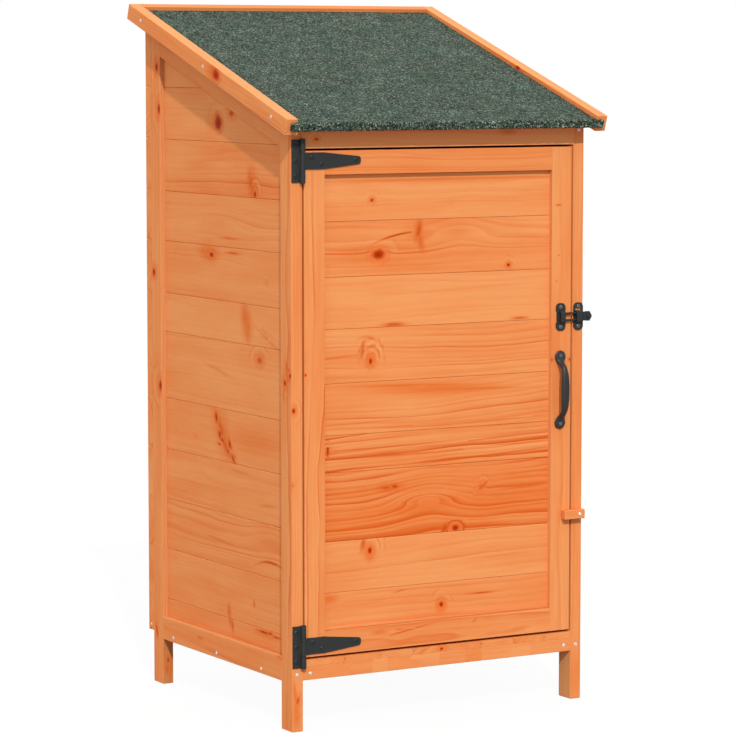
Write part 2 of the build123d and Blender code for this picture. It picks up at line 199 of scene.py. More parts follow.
# ------------------------------------------------------------------- materials
def wood_material():
    """Honey-brown stained pine. Each board carries where a point lies in its own
    log (grain), where the nearest knot is (knot) and its tone (board); tones given to chosen faces paint light or shade
    there."""
    n = Net("stained_pine_grain")
    g = n.attr("grain")
    u, v, w = n.parts(g)
    a, b, R = n.parts(n.attr("knot"))
    dark, hood, size = n.parts(n.attr("knot_look"))
    ma, mb, mdark = n.parts(n.attr("mark"))
    sa, sb, sdark = n.parts(n.attr("stain"))
    tone, amp, pitch = n.parts(n.attr("board"))

    # fibres part round a knot and bulge over it
    a2, b2 = n.mul(a, a), n.mul(b, b)
    side = n.m("DIVIDE", b, n.m("SQRT", n.add(b2, 0.35)))
    fall = n.m("EXPONENT", n.mul(n.add(n.mul(a2, 0.13), n.mul(n.m("ABSOLUTE", b), 0.5)), -1.0))
    part = n.mul(n.mul(side, fall), n.mul(R, 1.0))
    lump = n.m("EXPONENT", n.mul(n.add(n.mul(a2, 0.13), n.mul(b2, 0.16)), -1.0))
    lump = n.mul(n.mul(lump, R), n.mul(hood, 1.9))
    v2 = n.sub(v, part)

    # growth rings of the log
    wave = n.sub(n.noise(n.scaled(g, (2.1, 9.0, 9.0)), 1.0, 2.0), 0.5)
    wave2 = n.sub(n.noise(n.scaled(g, (10.0, 44.0, 44.0)), 1.0, 2.0), 0.5)
    r = n.m("SQRT", n.add(n.mul(v2, v2), n.mul(w, w)))
    r = n.add(r, n.add(n.mul(wave, 0.032), n.mul(wave2, 0.0050)))
    r = n.add(n.add(r, n.mul(u, 0.010)), lump)
    ring = n.m("DIVIDE", r, pitch)
    ring = n.add(ring, n.mul(n.sub(n.noise1(ring, 0.45), 0.5), 1.6))
    t = n.m("FRACT", ring)
    late = n.mul(n.m("POWER", n.step(t, 0.10, 0.88), 1.4), n.step(t, 0.86, 1.0, 1.0, 0.0))
    crisp = n.mul(n.step(t, 0.74, 0.88), n.step(t, 0.90, 0.985, 1.0, 0.0))
    power = n.white(n.m("FLOOR", ring))
    thin = n.mul(crisp, n.step(power, 0.45, 1.0, 0.0, 0.75))
    power = n.add(0.28, n.mul(n.m("POWER", power, 1.4), 0.95))
    patch = n.step(n.noise(n.scaled(g, (4.0, 22.0, 22.0)), 1.0, 2.0), 0.32, 0.66, 0.25, 1.0)
    close = n.m("FRACT", n.add(n.mul(ring, 2.6), n.mul(n.noise1(ring, 1.7), 0.8)))
    close = n.mul(n.step(close, 0.50, 0.84), n.step(close, 0.88, 1.0, 1.0, 0.0))
    close = n.mul(close, n.step(n.noise(n.scaled(g, (3.0, 26.0, 26.0)), 1.0, 2.0), 0.44, 0.68, 0.0, 0.22))
    lines = n.mul(n.add(n.add(n.mul(late, power), thin), close), n.mul(patch, amp))

    # soft bands, clouds, fibres and resin flecks
    band = n.noise(n.scaled(g, (2.4, 30.0, 30.0)), 1.0, 3.0)
    cloud = n.noise(n.scaled(g, (9.0, 24.0, 24.0)), 1.0, 2.0)
    streak = n.noise(n.scaled(g, (7.0, 190.0, 190.0)), 1.0, 3.0, 0.6)
    fibre = n.noise(n.scaled(g, (24.0, 1100.0, 1100.0)), 1.0, 2.0)
    fleck = n.noise(n.scaled(g, (70.0, 900.0, 900.0)), 1.0, 1.0)
    fleck = n.mul(n.step(fleck, 0.66, 0.78), 0.5)

    depth = n.add(tone, n.mul(n.sub(band, 0.5), n.add(0.85, n.mul(amp, 0.75))))
    depth = n.add(depth, n.mul(n.sub(cloud, 0.5), 0.60))
    depth = n.add(depth, n.mul(n.sub(streak, 0.5), 0.34))
    depth = n.m("ADD", depth, 0.0, clamp=True)
    colour = n.mix(depth, LIGHT, DEEP)
    # low tones paint light and shade: below -0.2 the wood turns paler as painted light, and below -2 it turns duller
    # and darker as painted shade
    colour = n.mix(n.step(tone, -1.0, -0.2, 1.0, 0.0), colour, PALE_AND_PAINTED_LIGHT)
    colour = n.mix(n.step(tone, -3.0, -2.0, 1.0, 0.0), colour, DULL_PAINTED_SHADE)
    colour = n.mix(n.m("MULTIPLY", lines, 0.95, clamp=True), colour, LINE)
    grit = n.add(n.mul(n.sub(fibre, 0.5), 0.15), 1.0)
    grit = n.sub(grit, n.mul(fleck, 0.18))
    colour = n.mix(1.0, colour, n.xyz(grit, grit, grit), "MULTIPLY")

    # broad stained patches
    sd = n.add(n.m("SQRT", n.add(n.mul(sa, sa), n.mul(sb, sb))), n.mul(n.sub(cloud, 0.5), 0.9))
    colour = n.mix(n.mul(n.step(sd, 0.1, 1.35, 1.0, 0.0), sdark), colour, STAIN, "MULTIPLY")

    # knots: a warm zone with faint broken rings, arcs over it, a small dark heart
    rag = n.sub(n.noise(n.xyz(n.mul(a, 0.9), n.mul(b, 0.9), u), 1.2, 3.0), 0.5)
    warp = n.sub(n.noise(n.xyz(n.mul(a, 0.42), n.mul(b, 0.42), n.mul(u, 2.0)), 1.0, 2.0), 0.5)
    d = n.m("SQRT", n.add(a2, b2))
    smooth = n.mul(d, n.add(1.0, n.mul(warp, 0.30)))
    d = n.add(n.mul(d, n.add(1.0, n.mul(warp, 0.75))), n.mul(rag, 0.5))
    soft = n.m("POWER", dark, 0.8, clamp=True)
    broken = n.step(n.noise(n.xyz(n.mul(a, 0.40), n.mul(b, 0.40), n.mul(u, 3.0)), 1.0, 1.0), 0.32, 0.60)
    over = n.mul(n.step(b, -0.2, 1.6), n.m("MINIMUM", hood, 1.0))
    far = n.mul(over, n.step(hood, 0.7, 1.0))

    def arc(where, wide):
        return n.step(n.m("ABSOLUTE", n.sub(smooth, where)), 0.0, wide, 1.0, 0.0)

    colour = n.mix(n.mul(n.step(d, 1.2, 3.2, 1.0, 0.0), n.mul(soft, 0.82)), colour, ZONE)
    glow = n.add(n.mul(arc(4.1, 0.9), n.mul(over, 0.70)), n.mul(arc(6.2, 1.1), n.mul(far, 0.70)))
    colour = n.mix(n.mul(n.m("MULTIPLY", glow, soft, clamp=True), broken), colour, PALE_AND_PAINTED_LIGHT)
    rims = n.add(n.mul(arc(2.6, 0.6), 0.22), n.add(n.mul(arc(5.1, 0.75), n.mul(over, 0.62)), n.mul(arc(7.7, 1.0), n.mul(far, 0.5))))
    colour = n.mix(n.mul(n.m("MULTIPLY", rims, soft, clamp=True), broken), colour, LINE)
    colour = n.mix(n.mul(arc(2.5, 0.55), n.step(dark, 1.0, 1.3, 0.0, 0.9)), colour, RIM)
    strong = n.step(dark, 0.25, 0.85)
    dh = n.m("DIVIDE", d, n.m("MAXIMUM", size, 0.1))
    heart = n.mul(n.step(dh, 0.62, 1.30, 1.0, 0.0), strong)
    rings = n.step(n.m("FRACT", n.mul(dh, 2.1)), 0.1, 0.95)
    core = n.mix(rings, HEART, RIM)
    core = n.mix(n.step(dh, 0.05, 0.80, 0.95, 0.0), core, PITH)
    colour = n.mix(heart, colour, core)

    # pitch streaks and nicks, which leave the grain as it runs
    mrag = n.sub(n.noise(n.xyz(n.mul(ma, 2.2), n.mul(mb, 0.6), u), 1.4, 2.0), 0.5)
    md = n.add(n.m("SQRT", n.add(n.mul(ma, ma), n.mul(mb, mb))), n.mul(mrag, 0.8))
    blush = n.m("MULTIPLY", mdark, 1.25, clamp=True)
    colour = n.mix(n.mul(n.m("POWER", n.step(md, 0.3, 2.6, 1.0, 0.0), 1.4), blush), colour, HALO)
    colour = n.mix(n.mul(n.step(md, 0.2, 1.15, 1.0, 0.0), n.mul(n.step(mdark, 0.28, 0.95), mdark)), colour, HEART)

    height = n.add(n.mul(lines, -0.6), n.mul(fibre, 0.35))
    height = n.add(height, n.mul(fleck, -0.4))
    height = n.add(height, n.mul(heart, 0.5))
    rough = n.add(n.add(0.52, n.mul(fibre, 0.16)), n.mul(heart, -0.12))
    return n.shade(colour, rough, n.bump(height, 0.20, 0.0006),
                   **{"Specular IOR Level": 0.06})


LIGHT = (0.784, 0.301, 0.103)
DEEP = (0.728, 0.168, 0.033)
# the paler colour serves pale grain round knots and, at low tones, painted light; the duller one is a darker copy of
# the wood used as painted shade
PALE_AND_PAINTED_LIGHT = (0.785, 0.350, 0.135)
DULL_PAINTED_SHADE = (0.605, 0.262, 0.100)
STAIN = (0.92, 0.60, 0.34)
ZONE = (0.745, 0.158, 0.033)
LINE = (0.630, 0.098, 0.010)
HALO = (0.655, 0.108, 0.012)
RIM = (0.540, 0.070, 0.004)
HEART = (0.440, 0.034, 0.001)
PITH = (0.300, 0.016, 0.0005)


def felt_material(name, low, mid, high):
    """Mineral felt: crushed green-grey slate on bitumen."""
    n = Net(name)
    pos = n.node("ShaderNodeTexCoord").outputs["Object"]
    grain = n.node("ShaderNodeTexVoronoi", feature="F1")
    grain.inputs["Scale"].default_value = 520.0
    n.put(grain.inputs["Vector"], pos)
    pick = n.parts(grain.outputs["Color"])[0]
    fine = n.node("ShaderNodeTexVoronoi", feature="F1")
    fine.inputs["Scale"].default_value = 820.0
    n.put(fine.inputs["Vector"], pos)
    pick2 = n.parts(fine.outputs["Color"])[1]
    blot = n.noise(pos, 38.0, 3.0, 0.55)
    thick = n.noise(pos, 260.0, 2.0, 0.6)
    x = n.sub(n.add(n.mul(pick, 0.58), n.mul(pick2, 0.36)), 0.09)
    x = n.add(x, n.mul(n.sub(blot, 0.5), 0.34))
    x = n.add(x, n.mul(n.sub(thick, 0.5), 0.75))
    colour = n.mix(n.step(x, 0.02, 0.46), low, mid)
    colour = n.mix(n.step(x, 0.46, 0.92), colour, high)
    colour = n.mix(n.step(n.noise(pos, 24.0, 3.0, 0.6), 0.36, 0.64), colour, (1.06, 1.0, 0.93), "MULTIPLY")
    colour = n.mix(n.step(n.noise(pos, 31.0, 3.0, 0.6), 0.42, 0.66), colour, (0.84, 1.0, 0.93), "MULTIPLY")
    tall = n.add(n.mul(grain.outputs["Distance"], -320.0), n.add(n.mul(thick, 0.8), n.mul(pick, 0.5)))
    return n.shade(colour, n.lerp(pick2, 0.0, 1.0, 0.78, 0.98), n.bump(tall, 0.55, 0.0011),
                   **{"Specular IOR Level": 0.22})


def coat_material(name, dark, light, rough, metallic=0.0, speck=420.0):
    """Black powder coat over steel, lightly mottled."""
    n = Net(name)
    pos = n.node("ShaderNodeTexCoord").outputs["Object"]
    peel = n.noise(pos, speck, 3.0, 0.55)
    soft = n.noise(pos, 60.0, 2.0)
    rub = n.noise(pos, 1500.0, 1.0)
    colour = n.mix(n.add(n.mul(soft, 0.6), n.mul(peel, 0.4)), dark, light)
    return n.shade(colour, n.add(rough, n.mul(n.sub(peel, 0.5), 0.22)),
                   n.bump(n.add(peel, n.mul(rub, 0.3)), 0.16, 0.0004),
                   **{"Metallic": metallic, "Specular IOR Level": 0.35})


def zinc_material():
    n = Net("bright_zinc")
    pos = n.node("ShaderNodeTexCoord").outputs["Object"]
    soft = n.noise(pos, 900.0, 2.0)
    colour = n.mix(soft, (0.80, 0.78, 0.75), (0.95, 0.94, 0.92))
    return n.shade(colour, n.lerp(soft, 0.2, 0.8, 0.30, 0.46), n.bump(soft, 0.08, 0.0002),
                   **{"Metallic": 0.75})


PINE = wood_material()
FELT = felt_material("green_mineral_felt", (0.004, 0.011, 0.007), (0.076, 0.108, 0.084), (0.40, 0.48, 0.40))
FELT_EDGE = felt_material("green_mineral_felt_edge", (0.004, 0.009, 0.006), (0.066, 0.096, 0.071), (0.60, 0.68, 0.57))
BLACK = coat_material("black_powder_coat", (0.0145, 0.0165, 0.0170), (0.027, 0.0308, 0.0312), 0.52)
IRON = coat_material("black_cast_iron", (0.018, 0.018, 0.018), (0.034, 0.033, 0.032), 0.46, speck=300.0)
SCREW = coat_material("black_screw_head", (0.007, 0.008, 0.008), (0.030, 0.033, 0.034), 0.40, speck=700.0)
GREY_SCREW = coat_material("dark_zinc_screw_head", (0.085, 0.084, 0.088), (0.190, 0.186, 0.190), 0.38, 0.35, 700.0)
ZINC = zinc_material()


# ----------------------------------------------------------------- wood pieces
def rounded(b, t, r, seg=3):
    """Outline of a b by t section about its middle, its arrises eased to r."""
    pts = []
    for cx, cy, a0 in ((b / 2 - r, t / 2 - r, 0), (-b / 2 + r, t / 2 - r, 90),
                       (-b / 2 + r, -t / 2 + r, 180), (b / 2 - r, -t / 2 + r, 270)):
        for i in range(seg + 1):
            q = math.radians(a0 + 90.0 * i / seg)
            pts.append((cx + r * math.cos(q), cy + r * math.sin(q)))
    return pts


def tongued(b, t, c=0.7, gap=0.28, tongue=True):
    """Section of a tongue-and-groove board from (0, 0): width up, face at depth 0."""
    e = b - gap
    top = [(e, 0.34 * t), (e + 2.8, 0.38 * t), (e + 2.8, 0.62 * t), (e, 0.66 * t)] if tongue else []
    return ([(c, 0.0), (e - c, 0.0), (e, c)] + top
            + [(e, t - c), (e - c, t), (c, t), (0.0, t - c), (0.0, 0.69 * t),
               (3.2, 0.65 * t), (3.2, 0.35 * t), (0.0, 0.31 * t), (0.0, c)])


def counts(pts, step):
    p = np.array(pts)
    return [max(1, int(math.ceil(np.linalg.norm(q) / step))) for q in np.roll(p, -1, 0) - p]


def divided(pts, n):
    p = np.array(pts, float)
    q = np.roll(p, -1, 0)
    return np.array([p[i] + (q[i] - p[i]) * k / n[i] for i in range(len(p)) for k in range(n[i])])


class Timber:
    """The boards of one piece of joinery, with the wood's own coordinates."""

    def __init__(self, node, body="shed", seed=0):
        self.node, self.body = node, body
        self.rng = np.random.default_rng(1000 + seed)
        self.co, self.faces, self.count = [], [], 0
        self.grain, self.knot, self.look, self.mark, self.stain, self.board = [], [], [], [], [], []

    def sweep(self, o, U, V, W, length, outline, small=None, ease=0.0, step=11.0, **wood):
        """One stick: an outline in (V, W) run along U from o. small is the outline of its eased ends."""
        n = counts(outline, step)
        full = divided(outline, n)
        runs = [(x, full) for x in np.linspace(ease, length - ease, max(2, int(length / step) + 1))]
        if small is not None and ease:
            tip = divided(small, n)
            runs = [(0.0, tip)] + runs + [(length, tip)]
        o = np.asarray(o, float)
        P = np.concatenate([o + U * x + q[:, :1] * V + q[:, 1:] * W for x, q in runs])
        m = len(full)
        F = [(i * m + j, i * m + (j + 1) % m, (i + 1) * m + (j + 1) % m, (i + 1) * m + j)
             for i in range(len(runs) - 1) for j in range(m)]
        F += [tuple(range(m))[::-1], tuple(range((len(runs) - 1) * m, len(runs) * m))]
        self.add(P, F, o, U, V, W, **wood)

    def stick(self, o, U, V, W, length, b, t, r=1.0, ease=0.7, **wood):
        """A plain planed stick, o in the middle of its first end."""
        self.sweep(o, U, V, W, length, rounded(b, t, r), rounded(b - 2 * ease, t - 2 * ease, r), ease, **wood)

    def add(self, P, F, o, U, V, W, knots=(), tone=0.35, amp=0.45, ring=7.0, pith=None, cuts=(), edge=()):
        bm = bmesh.new()
        vs = [bm.verts.new(p) for p in P]
        for f in F:
            bm.faces.new([vs[i] for i in f])
        for co, no in cuts:
            bmesh.ops.bisect_plane(bm, geom=bm.verts[:] + bm.edges[:] + bm.faces[:], dist=1e-4,
                                   plane_co=tuple(co), plane_no=tuple(no), clear_outer=True)
            rim = [e for e in bm.edges if e.is_boundary]
            if rim:
                bmesh.ops.holes_fill(bm, edges=rim, sides=0)
        bmesh.ops.remove_doubles(bm, verts=bm.verts[:], dist=1e-3)
        bmesh.ops.recalc_face_normals(bm, faces=bm.faces[:])
        bm.normal_update()
        bm.verts.index_update()
        P = np.array([v.co for v in bm.verts])
        if not len(P):
            bm.free()
            return
        if pith is None:
            pith = (self.rng.choice([-1, 1]) * self.rng.uniform(6, 46), self.rng.uniform(14, 60))
        q = P - o
        uvw = np.stack([q @ U, q @ V, q @ W], 1)
        shift = np.array([self.rng.uniform(1.0, 40.0), -pith[0] * MM, pith[1] * MM])
        G = uvw * MM + shift
        info = []
        for kp, plane, R, asp, phi, dk, hd, bend, heart in knots:
            kq = np.asarray(kp, float) - o
            kq = (kq @ U, kq @ V, kq @ W)
            al, ac = {"v": (0, 1), "w": (0, 2), "e": (1, 2)}[plane]
            info.append((kq[al], kq[ac], al, ac, R, asp, math.radians(phi), dk, hd, bend, heart))
        across = {(0, 1): W, (0, 2): V, (1, 2): U}

        def place(k, p):
            ku, kt, al, ac, R, asp, phi, dk, hd, bend = k[:10]
            du, dt = p[al] - ku, p[ac] - kt
            x, y = du * math.cos(phi) + dt * math.sin(phi), -du * math.sin(phi) + dt * math.cos(phi)
            return x / (R * asp), (y - bend * x * x) / R

        def nearest(kinds, p, reach):
            best, near = None, reach
            for k in kinds:
                q = math.hypot(*place(k, p))
                if q < near:
                    near, best = q, k
            return best

        for f in bm.faces:
            ids = [v.index for v in f.verts]
            c = uvw[ids].mean(0)
            way = np.array(f.normal)
            seen = [k for k in info if abs(way @ across[k[2:4]]) > 0.4]
            k = nearest([k for k in seen if k[8] > 0], c, 14.0)
            m = nearest([k for k in seen if k[8] == 0], c, 14.0)
            st = nearest([k for k in seen if k[8] < 0], c, 3.0)
            # edge gives faces that point a chosen way their own tone: painted light where paler, painted shade where
            # duller and darker
            face_tone_with_painted_light = next((h for e, h in edge if way @ e > 0.8), tone)
            self.faces.append([i + self.count for i in ids])
            for i in ids:
                self.grain.append(G[i])
                self.board.append((face_tone_with_painted_light, amp, ring * MM))
                self.knot.append((*place(k, uvw[i]), k[4] * MM) if k else (50.0, 50.0, 0.0))
                self.look.append((k[7], k[8], k[10]) if k else (0.0, 0.0, 1.0))
                self.mark.append((*place(m, uvw[i]), m[7]) if m else (50.0, 50.0, 0.0))
                self.stain.append((*place(st, uvw[i]), st[7]) if st else (50.0, 50.0, 0.0))
        self.co.append(P)
        self.count += len(P)
        bm.free()

    def done(self, name=None):
        mesh = bpy.data.meshes.new(name or self.node + "_timber")
        mesh.from_pydata((np.concatenate(self.co) * MM).tolist(), [], self.faces)
        for key, data in (("grain", self.grain), ("knot", self.knot),
                          ("knot_look", self.look), ("mark", self.mark), ("stain", self.stain),
                          ("board", self.board)):
            layer = mesh.attributes.new(key, "FLOAT_VECTOR", "CORNER")
            layer.data.foreach_set("vector", np.array(data, np.float32).ravel())
        mesh.materials.append(PINE)
        mesh.update()
        ob = bpy.data.objects.new(mesh.name, mesh)
        bpy.context.scene.collection.objects.link(ob)
        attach(ob, self.body)
        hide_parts(self.node)
        return ob


def K(p, plane="v", R=3.0, asp=1.1, phi=0.0, dark=0.8, hood=0.5, bend=0.0, heart=1.0):
    """A knot: its place, the plane it shows in, radius, stretch along and turn from the grain, darkness,
    how far the grain bulges over it and the size of its heart. With no bulge it is only a mark, which may bend,
    and below 0 a soft stain."""
    return (p, plane, R, asp, phi, dark, hood, bend, heart)


def stray(rng, many, point, lo=1.6, hi=5.5):
    """A few knots at random places, for the boards that the photo doesn't show."""
    return [K(point(), R=rng.uniform(lo, hi), asp=rng.uniform(1.0, 1.5), dark=rng.uniform(0.35, 0.95),
              hood=rng.uniform(0.2, 0.6)) for _ in range(many)]


DECK_CUT = [(at(0, 0, -18.02), ROOF_N)]
RAIL_CUT = [(at(0, 0, -60.3), ROOF_N)]

# posts, which run down as legs
post_knots = {
    "front_left": [K((-259, Y(4.0), 535.5), "w", 2.8, 1.3, 0, 0.95, 0.5), K((-259, Y(19.4), 523.6), "w", 3.2, 1.4, 20, 0.8, 0.6),
                   K((-259, Y(15), 545), "w", 2.2, 5.0, 8, 0.5, 0), K((-259, Y(24), 506), "w", 1.8, 6.0, 0, 0.45, 0),
                   K((-259, Y(16), 530), "w", 14.0, 2.4, 0, 0.45, -1),
                   K((-255.5, Y(0), 483.5), "v", 2.6, 1.5, 0, 0.95, 0.4), K((-249.0, Y(0), 47), "v", 2.6, 2.0, 12, 0.6),
                   K((-251.0, Y(0), 26), "v", 4.0, 3.6, 0, 0.40, 0), K((-254.0, Y(0), 60), "v", 2.0, 6.0, -6, 0.4, 0),
                   K((-257, Y(0), 372), "v", 1.2, 2.0, 0, 0.5)],
    "back_left": [K((-259, Y(441), 990), "w", 4.2, 1.5, 0, 0.9, 0.5), K((-259, Y(433.5), 924), "w", 4.2, 2.0, 0, 0.9),
                  K((-259, Y(455), 664), "w", 4.6, 1.3, 0, 0.95, 0.6), K((-259, Y(434), 484), "w", 5.0, 1.5, 0, 0.98, 0.5),
                  K((-259, Y(452), 84), "w", 2.4, 4.0, 12, 0.8, 0), K((-250, Y(430), 38), "v", 2.2, 2.2, 0, 0.75, 0),
                  K((-252, Y(430), 24), "v", 2.6, 2.4, 0, 0.5, 0), K((-250, Y(430), 34), "v", 26.0, 2.2, 0, 0.66, -1)],
    "front_right": [K((241, Y(0), 300), "v", 1.4, 1.8, 0, 0.5), K((250, Y(0), 38), "v", 16.0, 2.6, 0, 0.55, -1)],
    "back_right": [K((259, Y(445), 610), "w", 3.0, 1.4, 0, 0.85), K((259, Y(452), 260), "w", 2.2, 1.4, 0, 0.6)],
}
for i, (key, sx, y0) in enumerate((("front_left", -1, 0), ("front_right", 1, 0),
                                   ("back_left", -1, 430), ("back_right", 1, 430))):
    t = Timber(key + "_post", seed=i)
    full = 0.8 if y0 == 0 else 0.0
    # the back posts' front-facing faces take the duller, darker tone as painted shade, and the front right post's inner
    # face a paler tone as painted light
    t.stick((sx * (250 - full / 2), Y(y0 + 16.5), 0), Z3, X3, Y3, 1090, 18 + full, 33, 0.8, 0.8, cuts=DECK_CUT,
            knots=post_knots[key], tone=[0.24, 0.30, 0.26, 0.26][i], amp=0.5, ring=6.0,
            edge=[(-Y3, -3.0)] if y0 else [(-X3, -1.0)] if sx > 0 else (),
            pith=[(34, 24), (-26, 30), (20, 36), (-30, 22)][i])
    t.done()

# side walls: tongue-and-groove boards let in between the posts
joints = [110, 139.5, 221, 302, 382.5, 464, 570, 632, 715, 794, 876, 958, 1010]
left_tone = [0.42, 0.30, 0.34, 0.32, 0.24, 0.18, 0.12, 0.26, 0.20, 0.30, 0.22, 0.22]
left_amp = [0.30, 0.26, 0.60, 0.30, 0.16, 0.20, 0.12, 0.28, 0.24, 0.55, 0.20, 0.22]


def lw(y, z, *a, **k):
    return K((-250.5, Y(y), z), "v", *a, **k)


left_knots = {
    0: [lw(208, 130, 4.6, 2.0, 76, 0.58, 0), lw(214, 137, 3.8, 2.0, 80, 0.5, 0), lw(103, 135, 2.0, 9.0, 0, 0.9, 0),
        lw(84, 136, 1.8, 8.0, 0, 0.8, 0), lw(64, 133, 1.5, 8.0, 0, 0.75, 0), lw(95, 133, 9.0, 5.0, 0, 0.5, -1)],
    1: [lw(135, 174, 2.2, 2.0, 80, 0.6, 0), lw(300, 190, 8.0, 2.2, 0, 0.06, 0.35), lw(217, 150, 4.6, 2.0, 80, 0.48, 0)],
    2: [lw(78, 272, 13.0, 1.8, 0, 0.05, 0.6), lw(80, 245, 1.8, 18.0, 0, 0.72, 0, bend=-0.0036), lw(250, 258, 1.4, 22.0, 3, 0.35, 0)],
    3: [lw(90, 330, 1.6, 12.0, -4, 0.35, 0), lw(320, 345, 8.0, 2.0, 0, 0.04, 0.35), lw(180, 372, 1.6, 16.0, 3, 0.3, 0)],
    4: [lw(257, 449, 5.0, 1.5, 70, 0.95, 0), lw(245, 423, 5.2, 1.3, 55, 0.92, 0), lw(236, 414, 3.6, 2.0, 40, 0.85, 0),
        lw(247, 408, 1.8, 2.6, 10, 0.75, 0), lw(213, 411, 4.0, 1.7, 62, 0.92, 0), lw(220, 402, 3.0, 2.6, 50, 0.80, 0),
        lw(202, 390, 3.4, 2.6, 44, 0.75, 0), lw(196, 394, 1.6, 3.0, 30, 0.5, 0), lw(252, 436, 3.0, 3.0, 68, 0.55, 0),
        lw(241, 431, 5.5, 3.2, 58, 0.55, 0), lw(226, 406, 5.0, 3.0, 46, 0.55, 0),
        lw(232, 424, 30.0, 2.2, 52, 0.72, -1), lw(140, 424, 30.0, 3.2, 0, 0.52, -1), lw(330, 412, 2.4, 1.5, 0, 0.3, 0.5)],
    5: [lw(115, 549, 4.6, 1.4, 0, 0.58, 0.7), lw(113, 553, 14.0, 1.8, 0, 0.45, -1), lw(250, 523, 2.0, 16.0, 10, 0.3, 0),
        lw(120, 497, 10.0, 3.0, 0, 0.20, -1)],
    6: [lw(162, 614, 7.4, 1.7, 66, 0.30, 0, bend=0.006), lw(152, 604, 2.4, 5.0, 72, 0.36, 0), lw(154, 592, 4.0, 3.6, 82, 0.26, 0),
        lw(156, 604, 20.0, 1.7, 74, 0.85, -1), lw(92, 584, 2.0, 16.0, 22, 0.30, 0), lw(100, 594, 1.6, 14.0, 16, 0.26, 0)],
    7: [lw(271, 701, 3.6, 1.7, 0, 1.0, 0.2), lw(281, 704, 17.0, 2.4, 0, 1.0, -1), lw(201, 707, 1.8, 10.0, 0, 0.60, 0),
        lw(92, 668, 2.4, 1.4, 0, 0.3, 0.5)],
    8: [lw(212, 729, 1.6, 15.0, 0, 0.5, 0), lw(262, 746, 12.0, 3.0, 0, 0.04, 0.35), lw(282, 722, 7.0, 4.0, 0, 0.30, -1)],
    9: [lw(128, 799, 5.2, 0.80, 6, 0.98, 0.78), lw(141, 815, 4.6, 2.6, 74, 0.50, 0), lw(128, 786, 2.6, 3.0, 86, 0.5, 0),
        lw(136, 816, 20.0, 1.7, 74, 0.85, -1),
        lw(310, 838, 9.0, 6.0, -1, 0.35, -1)],
    10: [lw(246, 905, 6.6, 1.02, 0, 1.08, 0.25, heart=1.8), lw(203, 920, 4.6, 1.6, 0, 0.62, 0.3), lw(268, 905, 20.0, 1.0, 0, 0.5, -1)],
    11: [],
}
for side, sx in (("left", -1), ("right", 1)):
    t = Timber(side + "_wall", seed=10 + (sx > 0))
    for i in range(12):
        z0, z1 = joints[i], joints[i + 1]
        rng = np.random.default_rng(300 + i)
        many = int(rng.integers(0, 3))
        knots = left_knots[i] if sx < 0 else stray(
            rng, many, lambda: (250.5, Y(rng.uniform(60, 400)), rng.uniform(z0 + 8, z1 - 8)))
        t.sweep((sx * 250.5, Y(32.6), z0), Y3, Z3, -sx * X3, 397.8, tongued(z1 - z0, 9.5, tongue=i < 11),
                cuts=RAIL_CUT, knots=knots, tone=left_tone[i] if sx < 0 else rng.uniform(0.2, 0.45),
                amp=left_amp[i] if sx < 0 else rng.uniform(0.3, 0.7), ring=8.0,
                pith=(z1 - z0 + rng.uniform(8, 50), rng.uniform(12, 46)))
    t.done()
    t = Timber(side + "_skirt", seed=14 + (sx > 0))
    # the skirts' top faces take the duller, darker tone as painted shade
    t.stick((sx * 250, Y(33), 91.6), Y3, Z3, X3, 397, 36.8, 18, 1.0, 0.3, tone=0.30, amp=0.4, edge=[(Z3, -2.6)],
            knots=[K((sx * 259, Y(300), 96), "v", 1.6, 4.0, 0, 0.5, 0)])
    t.done()
    # top rail under the barge, cut to the roof's slope
    t = Timber(side + "_top_rail", seed=16 + (sx > 0))
    t.stick(at(sx * 250, 40, -39.2), ROOF_U, ROOF_N, X3, 520, 42.2, 18, 0.8, 0.3, tone=0.34, amp=0.4,
            cuts=[((0, Y(33), 0), (0, -1, 0)), ((0, Y(430), 0), (0, 1, 0))])
    t.done()

# back wall: the same boards, nailed over the back posts
back_joints = [82.7, 139.5, 221, 302, 382.5, 464, 570, 632, 715, 794, 876, 958, 1075]
t = Timber("back_wall", seed=20)
for i in range(12):
    z0, z1 = back_joints[i], back_joints[i + 1]
    rng = np.random.default_rng(340 + i)
    t.sweep((-259, Y(480), z0), X3, Z3, -Y3, 518, tongued(z1 - z0, 17, tongue=i < 11), cuts=DECK_CUT, step=13.0,
            knots=stray(rng, int(rng.integers(0, 3)), lambda: (rng.uniform(-240, 240), Y(480), rng.uniform(z0 + 8, z1 - 8))),
            tone=rng.uniform(0.15, 0.4), amp=rng.uniform(0.3, 0.7), ring=8.0,
            pith=(rng.uniform(10, 70), rng.uniform(12, 46)))
t.done()

# rails and floor
t = Timber("front_head_rail", seed=22)
# the low tone paints the head rail paler, painted light that lifts it where it sits in the roof's shade
t.stick((-241, Y(10), 893.2), X3, Z3, Y3, 482, 44, 20, 0.5, 0.2, tone=-0.5, amp=0.35, cuts=DECK_CUT,
        knots=[K((-216, Y(0), 884.7), "v", 2.4, 1.4, 0, 0.7), K((120, Y(0), 893), "v", 4.0, 3.0, 0, 0.4, 0)])
t.done()
for node, y0, seed in (("front_bottom_rail", 0, 24), ("back_bottom_rail", 443, 25)):
    # finger-jointed from short offcuts
    t = Timber(node, seed=seed)
    rng = np.random.default_rng(seed)
    x = -241.0
    while x < 241:
        long = min(rng.uniform(24, 62), 241 - x)
        if 241 - x - long < 16:
            long = 241 - x
        t.sweep((x, Y(y0 + 10), 87.35), X3, Z3, Y3, long, rounded(20.7, 20, 0.9), step=10.0,
                tone=float(np.clip(rng.normal(0.16, 0.28), -0.25, 0.75)), amp=rng.uniform(0.15, 0.5),
                pith=(rng.uniform(-30, 30), rng.uniform(10, 50)))
        x += long
    t.done()
t = Timber("floor", seed=26)
edges = [-241, -169.8, -107.1, -48.9, 11.7, 73.1, 133, 190, 241]
